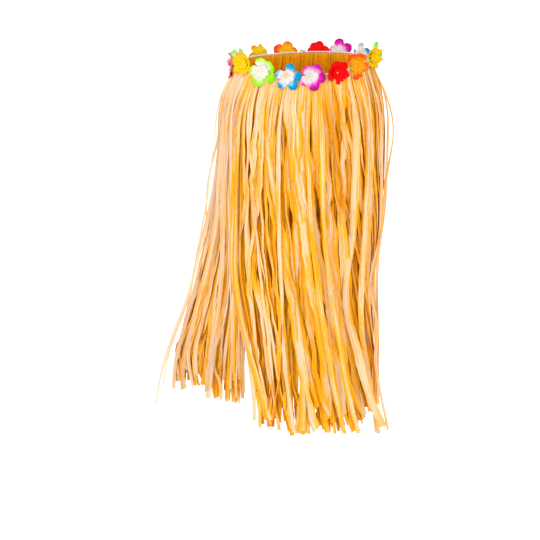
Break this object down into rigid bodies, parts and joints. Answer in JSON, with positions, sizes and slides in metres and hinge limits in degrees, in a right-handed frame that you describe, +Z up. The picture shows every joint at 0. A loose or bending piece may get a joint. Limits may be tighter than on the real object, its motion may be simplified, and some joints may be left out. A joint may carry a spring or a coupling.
{
  "type": "grass skirt",
  "caption": "Long grass skirt of flat raffia strands hanging in bundles from a waist cord, with a garland of fabric flowers on the cord.",
  "frame": {"origin": "centre of the waist opening, level with the middle of the waist cord's height", "axes": "+Z up along the wearer's body, -Y towards the front of the skirt, +X towards the wearer's left"},
  "size_m": [0.4913, 0.4572, 0.8287],
  "materials": {
    "raffia": "satin straw ribbon, cream to amber",
    "cord": "soft twisted cotton",
    "petal_yellow": "matt cloth",
    "petal_green": "matt cloth, white middle",
    "petal_blue": "matt cloth, white middle",
    "petal_magenta": "matt cloth, white middle",
    "petal_red": "matt cloth",
    "petal_orange": "matt cloth, yellow middle",
    "petal_rose": "matt cloth"
  },
  "bodies": {
    "root": {"waist_cord": "cord", "waist_knot": "cord", "raffia_bundle_01": "raffia", "raffia_bundle_02": "raffia", "raffia_bundle_03": "raffia", "raffia_bundle_04": "raffia", "raffia_bundle_05": "raffia", "raffia_bundle_06": "raffia", "raffia_bundle_07": "raffia", "raffia_bundle_08": "raffia", "raffia_bundle_09": "raffia", "raffia_bundle_10": "raffia", "raffia_bundle_11": "raffia", "raffia_bundle_12": "raffia", "raffia_bundle_13": "raffia", "raffia_bundle_14": "raffia", "raffia_bundle_15": "raffia", "raffia_bundle_16": "raffia", "flower_front_yellow": "petal_yellow", "flower_front_green": "petal_green", "flower_front_blue": "petal_blue", "flower_front_magenta": "petal_magenta", "flower_front_red": "petal_red", "flower_front_orange": "petal_orange", "flower_right_yellow": "petal_yellow", "flower_right_green": "petal_green", "flower_back_blue": "petal_blue", "flower_back_magenta": "petal_magenta", "flower_back_red": "petal_red", "flower_back_orange": "petal_orange", "flower_back_yellow": "petal_yellow", "flower_back_green": "petal_green", "flower_left_rose": "petal_rose"}
  },
  "joints": []
}
